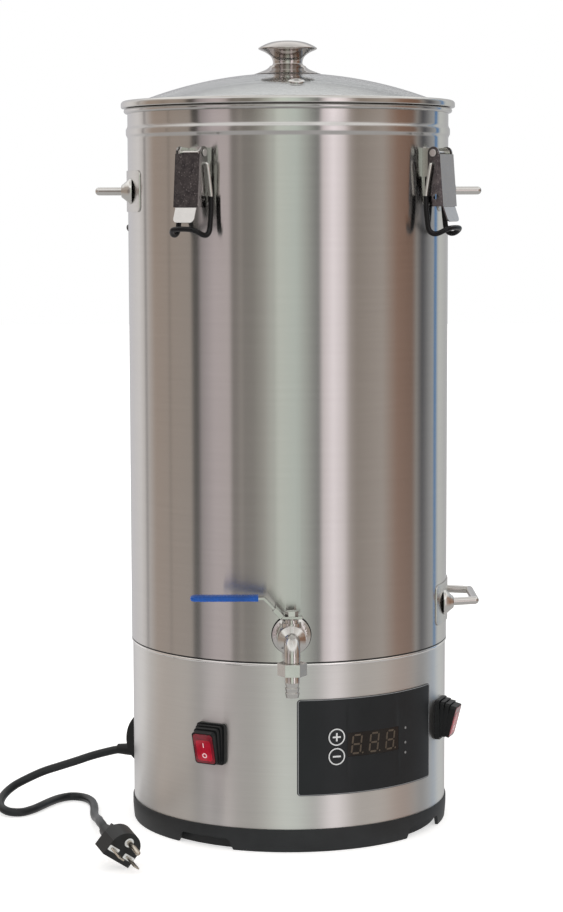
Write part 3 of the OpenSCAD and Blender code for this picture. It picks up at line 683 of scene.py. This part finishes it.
KNOB = [(15.8, 0), (14.4, 1.2), (13.8, 2.8), (14.2, 5.4), (15.4, 8.2), (17.8, 10.6), (21.6, 13.0),
        (25.6, 14.7), (27.2, 15.6), (27.4, 16.2), (26.6, 17.1), (22, 19.6), (16, 21.8), (9, 23.0),
        (3, 23.35)]
FLARE = [(31, -1.1), (31, -0.7), (29, -0.1), (26, 1.1), (21, 3.1), (18, 5), (16.9, 6.3), (16.6, 6.7)]
FLARE_TOP, SCREW_HOLE, WASHER_HOLE = 6.7, 3.05, 4
knob = lathe("knob_turned", [(SCREW_HOLE, 0), (15.6, 0)] + smooth(KNOB)
             + [(0, 23.4), (0, 12), (SCREW_HOLE, 12)], M["chrome"], "lid",
             Matrix.Translation((0, 0, DOME_TOP + FLARE_TOP)), 96)
stand_in(knob, "chrome", "lid_knob")
flare = lathe("knob_flare", [(WASHER_HOLE, -0.1), (16, -0.35)] + smooth(FLARE)
              + [(WASHER_HOLE, FLARE_TOP)], M["chrome"], "lid", Matrix.Translation((0, 0, DOME_TOP)), 96)
stand_in(flare, "chrome", "lid_knob_base")

eyelet = lathe("vent_eyelet", [(2.8, 371.9), (2.8, 379.0), (3.1, 379.35), (4.4, 379.45), (6.6, 379.2),
                               (7.4, 378.6), (7.5, 377.9), (4.2, 377.75), (4.2, 373.7), (6.2, 373.6),
                               (6.5, 373.0), (6.2, 372.3), (4.0, 371.9)], M["bright"], "lid", VENT, 40)
stand_in(eyelet, "chrome", "steam_vent_eyelet")


# ---------------------------------------------------------------- tank, skirt and base
VALVE_Z = 200
wall = lathe("tank_wall",
             [(TANK_INNER, SEAM_Z), (149.3, SEAM_Z - 0.3), (TANK_R, SEAM_Z), (TANK_R, BEAD_Z - 6.2),
              (150.15, BEAD_Z - 5.2), (150.8, BEAD_Z - 3.7), (151.35, BEAD_Z - 2.7), (151.5, BEAD_Z - 1.7),
              (151.5, BEAD_Z + 1.7), (151.35, BEAD_Z + 2.7), (150.8, BEAD_Z + 3.7), (150.15, BEAD_Z + 5.2),
              (TANK_R, BEAD_Z + 6.2), (TANK_R, RIM_Z - 3.0)]
             + arc(TANK_R + 1, RIM_Z, RIM_ROLL, -115, 205, 20)
             + [(TANK_INNER, RIM_Z - 3), (TANK_INNER, BEAD_Z + 5.6), (150.4, BEAD_Z + 2.2),
                (150.4, BEAD_Z - 2.2), (TANK_INNER, BEAD_Z - 5.6)],
             M["tank"], "kettle", None, 224)
cut(wall, [bore(10.35, 130, 170, facing(0, VALVE_Z))])
floor_pan = lathe("tank_floor", [(0, 180.4), (149.2, 180.4), (149.2, 181.4), (147.5, 181.7), (0, 181.6)],
                  M["floor"], "kettle", None, 128)
stand_in(wall, "brushed_steel", "tank")
stand_in(floor_pan, "brushed_steel", "tank")

DISPLAY_AZ, DISPLAY_Z, BUTTON_AZ, LED_AZ = 30.5, 97, 15.8, 44.6
BUTTON_Z, LED_Z = (105, 87.2), (105.2, 91.5, 82.1)
SWITCHES = {"left": (-28.7, 97.3), "right": (70.5, 102.4)}  # azimuth and height

skirt = lathe("skirt_wall",
              [(148.1, 14), (149, 14), (149, 170.4), (149.15, 171.2), (149.65, 171.6), (149.8, 172.1),
               (149.8, 172.8), (149.6, 173.2), (149.1, 173.5), (149, 174.0), (149, 179.6), (148.1, 179.6)],
              M["skirt"], "kettle", None, 224)
cut(skirt, [slot_cutter(55.4, 22, facing(DISPLAY_AZ, DISPLAY_Z))]
    + [bore(8.25, 130, 160, facing(BUTTON_AZ, z)) for z in BUTTON_Z]
    + [slot_cutter(22.4, 31, facing(az, z)) for az, z in SWITCHES.values()])
stand_in(skirt, "brushed_steel", "base_skirt")
# a black ring in the seam between tank and skirt: painted shade for the dark gap there
shade_ring = lathe("seam_shade_ring", [(149.02, 173.2), (149.85, 173.3), (149.95, 173.9), (149.85, 174.5),
                           (149.02, 174.58)], M["black"], "kettle", None, 224)
# a real rolled hem; its very light steel paints the bright line along it as a highlight, beside the one its
# round shape gives
hem = lathe("skirt_hem", [(148.9, 170.5), (149.5, 170.7), (150.0, 171.4), (150.15, 172.0),
                          (150.0, 172.6), (149.5, 173.1), (148.9, 173.2)], M["hem"], "kettle", None, 224)


def foot_cutter(az):
    """A cutter for one of the base ring's outer notches."""
    shape = [(-30.6, -1), (30.6, -1), (26.4, 8.4), (24.9, 10.0), (23, 10.4), (-23, 10.4),
             (-24.9, 10.0), (-26.4, 8.4)]
    ob = plate("hole", shape, 140, 165, None, None, facing(az))
    return cut(ob, [bore(144.8, -5, 20, None, 128)])


QUARTERS = [-32.5 + 90 * k for k in range(4)]  # the azimuths of the latches and of the notches under them
pan = lathe("base_ring",
            [(0, 9.6), (138, 9.6), (138, 0.4), (138.4, 0), (140, 0), (140.4, 0.4), (140.4, 9.6), (146, 9.6),
             (146, 0.4), (146.4, 0), (148.2, 0), (148.8, 0.25), (149.2, 1.0), (149.9, 9), (150.2, 13),
             (150.2, 20.2), (150.0, 20.9), (149.6, 21.3), (149.35, 21.15), (149.15, 20.4), (149.1, 14),
             (146, 14), (146, 12.4), (0, 12.4)], M["pan"], "kettle", None, 224)
cut(pan, [foot_cutter(az) for az in QUARTERS])
cut(pan, [plate("hole", rrect(3, 30, 1.4, 5, 0, -97), 5, 15, None, None,
                Matrix.Rotation(math.radians(30 * k + 8), 4, "Z")) for k in range(12)]
    + [bore(5.4, 5, 20, Matrix.Translation((40, 62, 0)), 32)])
add_bevel(pan, 0.45, 3, 40)
stand_in(pan, "black_plastic", "base_pan")


# ---------------------------------------------------------------- handles
HANDLE_HALF, HANDLE_R, HANDLE_FOOT_Y, HANDLE_BAR_Y, HANDLE_BEND = 40, 3.75, -145.8, -184.25, 10
HANDLES = (("upper_left_handle", -90, 595), ("upper_right_handle", 90, 595), ("lower_handle", 90, 210.5))
BOSS = [(3.8, 144.4), (11.8, 144.4), (11.8, 146.2), (11.4, 147.0), (8.2, 150.6), (6.6, 152.6),
        (5.8, 153.8), (5.0, 154.2), (4.3, 154.0), (3.8, 153.4)]
for node, az, z in HANDLES:
    corners = [(HANDLE_HALF, HANDLE_FOOT_Y, 0), (HANDLE_HALF, HANDLE_BAR_Y, 0),
               (-HANDLE_HALF, HANDLE_BAR_Y, 0), (-HANDLE_HALF, HANDLE_FOOT_Y, 0)]
    bent = rounded_path(corners, HANDLE_BEND, 12)
    bar = sweep(node + "_bar", bent, HANDLE_R, M["wire"], "kettle", station(az, z), 28)
    stand_in(bar, "polished_steel", node)
    pad = wrapped_plate(node + "_pad", rrect(128.7, 38, 5, 8), 150.02, 151.2, M["plate"], "kettle", az, z,
                        edge=0.35)
    stand_in(pad, "polished_steel", "handle_plates")
    for s in (-1, 1):
        boss = lathe(node + "_boss", BOSS, M["boss"], "kettle",
                     facing(az, z) @ Matrix.Translation((s * HANDLE_HALF, 0, 0)), 40)


# ---------------------------------------------------------------- latches
BAIL = [(11.7, -160.5, 619.2), (13.2, -160.5, 619.2), (15.2, -160.5, 618.6), (16.2, -160.2, 616.2),
        (16.6, -157.8, 602), (16.8, -156.2, 590), (16.8, -156.6, 578), (16.8, -158, 566),
        (16.8, -159, 561), (16.7, -161, 557.8), (16.4, -164.4, 556.2), (15.8, -168.4, 556.6),
        (14.4, -172.2, 558.4), (12, -175, 560.2), (8.6, -176.5, 561.2), (0, -177, 561.6)]
GRIP_FROM = 5  # the grip covers the bail from this point on
WIRE_R, GRIP_R = 1.5, 2.32
TAB_TOP = 0.5808  # metres: the lever's flat face ends here, and its tab is below
SQUARE_ON = 0.9  # a face this close to a direction, as a cosine, counts as facing it
SHADOWED, SPECKLED, PAINTED_LIGHT, RIM_HIGHLIGHT = range(4)  # the lever's materials, in their order on the mesh: painted shade, a painted dark reflection, painted light, and a painted highlight for the rounded edges


def both_sides(half):
    return half + [(-x, y, z) for x, y, z in reversed(half[:-1])]


def grip_radius(t):
    """The dipped rubber is a little fuller at the two lower corners."""
    return GRIP_R + 0.16 * math.exp(-((abs(t - 0.5) - 0.24) / 0.05) ** 2)


stand_in(cad_copy("latch_brackets", M["bright"], 0.35, 3), "polished_steel")
stand_in(cad_copy("latch_pins", M["bright"], 0.35, 3), "fastener_steel")
for k, az in enumerate(QUARTERS, 1):
    lever = cad_copy(f"latch_lever_{k}", M["latch"], 0.45, 3)
    for key in ("latch_plate", "latch_tab", "latch_edge"):
        lever.data.materials.append(M[key])
    # the rounded edges take the very light steel: a painted highlight
    lever.modifiers["edges"].material = RIM_HIGHLIGHT
    out, side = (station(az).to_3x3() @ Vector(v) for v in ((0, -1, 0), (-1, 0, 0)))
    # painted light and shade on the lever's faces: the second lever, at the front right, has brighter faces
    # than the front left one, so its plate gets painted light and its cheeks the painted dark reflection,
    # where the others get the painted dark reflection on the plate and painted shade on the cheeks; every
    # tab gets painted light
    plate_index, cheek_index = (PAINTED_LIGHT, SPECKLED) if k == 2 else (SPECKLED, SHADOWED)
    for f in lever.data.polygons:
        if f.normal.dot(out) > SQUARE_ON:
            f.material_index = plate_index if f.center.z > TAB_TOP else PAINTED_LIGHT
        elif abs(f.normal.dot(side)) > SQUARE_ON:
            f.material_index = cheek_index
    rod = sweep(f"latch_bail_{k}_wire", spline(both_sides(BAIL), 4), WIRE_R, M["wire"],
                f"latch_bail_{k}", station(az), 14)
    stand_in(rod, "polished_steel", f"latch_bail_{k}")
    grip = sweep(f"latch_grip_{k}_dip", spline(both_sides(BAIL[GRIP_FROM:]), 6), grip_radius, M["grip"],
                 f"latch_bail_{k}", station(az), 20)
    stand_in(grip, "black_rubber", f"latch_grip_{k}")


# ---------------------------------------------------------------- valve
STEM_Y, SPOUT_Y = -167, -196
for node, key, edge, slot in (("valve_body", "valve", 0.7, "valve_steel"),
                              ("union_nut", "valve", 0.6, "valve_steel"),
                              ("valve_back_nut", "valve", 0.6, "valve_steel"),
                              ("valve_washers", "rubber", 0.4, "silicone"),
                              ("stem_nut", "bright", 0.4, "fastener_steel"),
                              ("valve_lever", "lever", 0.45, "polished_steel"),
                              ("lever_lock", "lever", 0.4, "polished_steel")):
    stand_in(cad_copy(node, M[key], edge, 3), slot)
# a black ring just past the flange's edge: a painted dark outline standing for the shade and dark
# reflection on the flange's side
shade_ring = lathe("valve_shade_ring", [(15, 150.6), (17.6, 150.4), (18.0, 151.0), (17.9, 151.8), (17.4, 152.15),
                            (15, 152.15)], M["rubber"], "kettle", facing(0, VALVE_Z), 64)

ridges = []
for z in (152.4, 156.8, 161.2):
    ridges += [(5.4, z), (5.5, z + 0.4), (6.4, z + 3.9), (6.5, z + 4.2), (6.35, z + 4.4)]
barb = lathe("barb_turned", [(4.2, 176.6), (4.2, 152.7), (4.5, 152.4)] + ridges
             + [(6.6, 165.9), (6.6, 172.0), (6.5, 172.3), (6.5, 174.4), (9.4, 174.5), (9.4, 176.6)],
             M["valve"], "kettle", Matrix.Translation((0, SPOUT_Y, 0)), 48)
stand_in(barb, "valve_steel", "hose_barb")

SLEEVE_FROM, SLEEVE_LONG, SLEEVE_Z, SLEEVE_HALF_W, SLEEVE_HALF_T = -29.5, 60.3, 236.05, 7.0, 2.9
SLEEVE_END = 5.5  # how much of the free end is rounded


def vinyl_sleeve():
    """Dipped vinyl over the lever's end: a flat oval tube, slightly uneven, with a soft free end."""
    rings, n, verts, faces = 60, 36, [], []
    for i in range(rings + 1):
        t = i / rings
        x = SLEEVE_FROM - SLEEVE_LONG * t
        end, fall = (1 - t) * SLEEVE_LONG, 1.0
        if end < SLEEVE_END:
            fall = math.sqrt(max(0.0, 1 - (1 - end / SLEEVE_END) ** 2)) * 0.62 + 0.38
        lump = 1 + 0.012 * math.sin(t * 41) + 0.01 * math.sin(t * 17 + 1)
        for c, s in circle(1, n):
            y = SLEEVE_HALF_W * fall * math.copysign(abs(c) ** 0.75, c) * min(lump, 1.0)
            z = SLEEVE_HALF_T * (fall * 0.9 + 0.1) * math.copysign(abs(s) ** 0.8, s) * lump
            verts.append((x, STEM_Y + y, SLEEVE_Z + z))
    for i in range(rings):
        for k in range(n):
            a, b = i * n + k, i * n + (k + 1) % n
            faces.append([a, b, b + n, a + n])
    faces += [list(range(n)), list(range(rings * n, rings * n + n))]
    return mesh_piece("sleeve_dip", verts, faces, M["blue"], "valve_handle", sharp=60)


stand_in(vinyl_sleeve(), "blue_vinyl", "lever_sleeve")


# ---------------------------------------------------------------- control panel
PANEL_AZ, PANEL_Z, PANEL_W, PANEL_H, SKIN = 30.8, 96.15, 144.3, 88.3, 150
overlay = cad_copy("panel_overlay", M["panel"], 0.12, 2)
border = wrapped_plate("panel_border", rrect(PANEL_W - 0.8, PANEL_H - 0.8, 2.6, 6), 149.58, 149.66,
                       M["silver_dim"], "kettle", PANEL_AZ, PANEL_Z,
                       holes=[rrect(PANEL_W - 2.0, PANEL_H - 2.0, 2.0, 6)])


def marks(name, parts):
    """Joins printed marks into one piece."""
    ob = join(name, parts)
    return ob


for node, z, upright in (("plus_button", BUTTON_Z[0], True), ("minus_button", BUTTON_Z[1], False)):
    cap = cad_copy(node, M["panel"], 0.35, 3)
    place = facing(BUTTON_AZ, z, SKIN)
    parts = [lathe("ring", [(6.7, -0.05), (7.85, -0.05), (7.85, 0.10), (7.75, 0.16), (6.8, 0.16),
                            (6.7, 0.10)], M["silver"], None, place, 48)]
    parts.append(plate("bar", rrect(7.6, 1.5, 0.2, 2), -0.05, 0.14, M["silver"], None, place))
    if upright:
        parts.append(plate("bar", rrect(1.5, 7.6, 0.2, 2), -0.05, 0.15, M["silver"], None, place))
    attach(marks(node + "_mark", parts), node)

window = wrapped_plate("display_glass", rrect(55, 21.8, 0.5, 3), 147.2, 149.45, M["window"], "kettle",
                       DISPLAY_AZ, DISPLAY_Z)
stand_in(window, "display_window", "display")

DIGIT_X, DIGIT_W, DIGIT_H, DIGIT_SLANT, SEG = (-18.6, -0.5, 17.6), 8.6, 16.6, 0.12, 1.7


def digit_segments(cx):
    """The seven bars and the point of one slanted digit."""
    w, h, s, half = DIGIT_W / 2, DIGIT_H / 2, SEG / 2, DIGIT_H / 4 - 0.5
    out = [[(0.9 - w, y), (1.6 - w, y + s), (w - 1.6, y + s), (w - 0.9, y), (w - 1.6, y - s),
            (1.6 - w, y - s)] for y in (-h, 0, h)]
    for x in (-w, w):
        for y in (-h / 2, h / 2):
            out.append([(x, y - half), (x + s, y - half + 0.7), (x + s, y + half - 0.7), (x, y + half),
                        (x - s, y + half - 0.7), (x - s, y - half + 0.7)])
    out.append(circle(0.85, 12, w + 2.6, -h))
    return [[(cx + x + DIGIT_SLANT * y, y) for x, y in loop] for loop in out]


parts = [wrapped_plate("seg", loop, 149.40, 149.50, M["segment"], None, DISPLAY_AZ, DISPLAY_Z, step=3)
         for cx in DIGIT_X for loop in digit_segments(cx)]
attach(marks("display_digits", parts), "kettle")
parts = [lathe("lamp", [(0, 147), (1.2, 147), (1.2, 149.75), (1.0, 149.95), (0, 150.0)], M["lamp"], None,
               facing(LED_AZ, z), 20) for z in LED_Z]
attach(marks("panel_lamps", parts), "kettle")


# ---------------------------------------------------------------- rocker switches
ROCKER_TILT, ROCKER_PIVOT_Y, LENS_R = 14.5, -155, 165
for side, (az, z) in SWITCHES.items():
    boot = cad_copy(f"{side}_switch_boot", M["rubber"], 0.9, 4, rides=False)
    bake_modifiers(stand_in(boot, "black_rubber"))
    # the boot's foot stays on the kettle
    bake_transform(boot)
    stand_in(cad_copy(f"{side}_switch_body", M["black"], 0.3, 2), "black_plastic")
    stand_in(cad_copy(f"{side}_rocker", M["lens"], 0.6, 4), "red_lens")
    pivot = Matrix.Translation((0, ROCKER_PIVOT_Y, 0))
    tip = station(az, z) @ pivot @ Matrix.Rotation(math.radians(ROCKER_TILT), 4, "X") @ pivot.inverted()
    face = tip @ Matrix.Translation((0, -LENS_R, 0)) @ Matrix.Rotation(PI / 2, 4, "X")
    core = plate(side + "_rocker_core", rrect(15.2, 20.5, 2.4, 6, 0, -1.6), -0.1, 0.22, M["lens_core"],
                 None, face, edge=0.3)
    bake_modifiers(core)
    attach(core, side + "_rocker")
    parts = [plate("mark", rrect(0.8, 4.6, 0.3, 2, 0, 3.6), 0.15, 0.34, M["mark"], None, face),
             lathe("mark", [(1.5, 0.15), (2.4, 0.15), (2.4, 0.28), (2.3, 0.34), (1.6, 0.34), (1.5, 0.28)],
                   M["mark"], None, face @ Matrix.Translation((0, -6.6, 0)), 32)]
    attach(marks(side + "_rocker_marks", parts), side + "_rocker")

stand_in(cad_copy("cord_gland", M["black"], 1.1, 4), "black_plastic")

# inner parts and screws keep their CAD shape
FINISH = {"lid_knob_screw": "bright", "bottom_screws": "bright", "valve_stem": "bright",
          "valve_ball": "bright", "ball_seats": "white", "control_housing": "black",
          "control_board": "board", "heating_elements": "heater", "thermal_cutout": "black",
          "reset_button": "reset", "temperature_probe": "bright"}
for node, key in FINISH.items():
    materials = frame["nodes"][node].data.materials
    materials.clear()
    materials.append(M[key])


# ---------------------------------------------------------------- studio
CLEAR = (1.0,)


def strip(lo, hi, colour):
    """A filter from one azimuth to another, with nothing in front of the panels beside it."""
    return [(lo - 1, CLEAR), (lo, colour), (hi, colour), (hi + 1, CLEAR)]


# tall studio panels round the kettle: (azimuth, colour), and thinner strips that stand in front of them
PANELS = [(-180, (0.54, 0.54, 0.55)), (-158, (0.67, 0.66, 0.67)), (-136, (0.80, 0.78, 0.77)),
          (-122, (0.66, 0.63, 0.61)), (-112, (0.52, 0.45, 0.40)),
          (-74, (0.48, 0.43, 0.39)), (-72.5, (0.13, 0.12, 0.11)), (-68, (0.15, 0.14, 0.13)),
          (-66, (0.46, 0.42, 0.42)), (-55, (0.65, 0.59, 0.59)), (-43, (0.65, 0.59, 0.58)),
          (-41, (0.32, 0.29, 0.27)), (-26, (0.35, 0.33, 0.30)), (-18, (0.50, 0.49, 0.45)),
          (-8, (0.76, 0.79, 0.73)), (5, (0.70, 0.75, 0.70)), (12, (0.55, 0.57, 0.53)),
          (21, (0.29, 0.29, 0.28)), (23, (0.83, 0.77, 0.77)), (31, (1.10, 1.03, 1.05)),
          (39, (0.90, 0.84, 0.84)), (44, (0.52, 0.47, 0.44)), (49, (0.42, 0.37, 0.33)),
          (70, (0.53, 0.48, 0.44)), (84, (0.40, 0.28, 0.22)), (99, (0.34, 0.24, 0.19)),
          (104, (0.44, 0.42, 0.40)), (111, (0.17, 0.17, 0.18)), (121, (0.42, 0.42, 0.42)),
          (139, (0.68, 0.69, 0.67)), (156, (0.56, 0.56, 0.56)), (180, (0.54, 0.54, 0.55))]
STRIPS = [(-180, CLEAR), *strip(-126, -124, (0.62,)), *strip(-96, -94, (0.85,)),
          *strip(-36, -34, (1.25,)), (-12, CLEAR), (-11, (0.88,)), (-9, CLEAR),
          *strip(129, 133, (0.35, 0.62, 1.0)), (180, CLEAR)]
VIVID_GAMMA, VIVID_GAIN = 1.6, 1.29
LOW_COLOUR, SKY_COLOUR, BACKDROP = (0.52, 0.51, 0.50), (1.15, 1.14, 1.12), (1.0, 1.0, 1.0)


def add_world():
    scene.world = bpy.data.worlds.new("studio")
    k = Nodes(scene.world)
    x, y, z = k.split(k.t.nodes.new("ShaderNodeTexCoord").outputs["Generated"])
    turn = k.math("ADD", k.math("DIVIDE", k.azimuth(x, y), 2 * PI), 0.5)
    wall, front = (k.ramp(turn, [(a / 360 + 0.5, c) for a, c in stops]) for stops in (PANELS, STRIPS))
    wall = k.mix(1.0, wall, front, "MULTIPLY")
    # the panels are brightest, and the gaps between them darkest, at the kettle's own height
    vivid = k.t.nodes.new("ShaderNodeGamma")
    vivid.inputs[1].default_value = VIVID_GAMMA
    k.t.links.new(wall, vivid.inputs[0])
    level = k.ramp(k.math("ABSOLUTE", z), [(0.14, (0.9,)), (0.24, (0.0,))])
    wall = k.mix(level, wall, k.scaled(vivid.outputs[0], VIVID_GAIN))
    low = k.ramp(k.math("MULTIPLY", z, -1.0), [(0.16, (0.0,)), (0.5, (1.0,))])
    wall = k.mix(low, wall, LOW_COLOUR)
    high = k.ramp(z, [(0.42, (0.0,)), (0.62, (1.0,)), (0.92, (0.45,))])
    sky = k.mix(high, wall, SKY_COLOUR)
    seen = k.t.nodes.new("ShaderNodeLightPath").outputs["Is Camera Ray"]
    background = k.t.nodes["Background"]
    k.t.links.new(k.mix(seen, sky, BACKDROP), background.inputs[0])
    background.inputs[1].default_value = 1.0


FLOOR_R, FLOOR_Z, FLOOR_GLOW = 9000, -0.05, 0.55


def add_floor():
    k = look("floor_white")
    k.set(Base_Color=(0.9, 0.9, 0.9), Roughness=0.9, Emission_Color=(1, 1, 1),
          Emission_Strength=FLOOR_GLOW, Specular_IOR_Level=0.0)
    verts = [(x, y, FLOOR_Z) for x, y in circle(FLOOR_R, 64)]
    ob = mesh_piece("floor", verts, [list(range(len(verts)))], k.m)
    ob.visible_glossy = False


add_world()
add_floor()
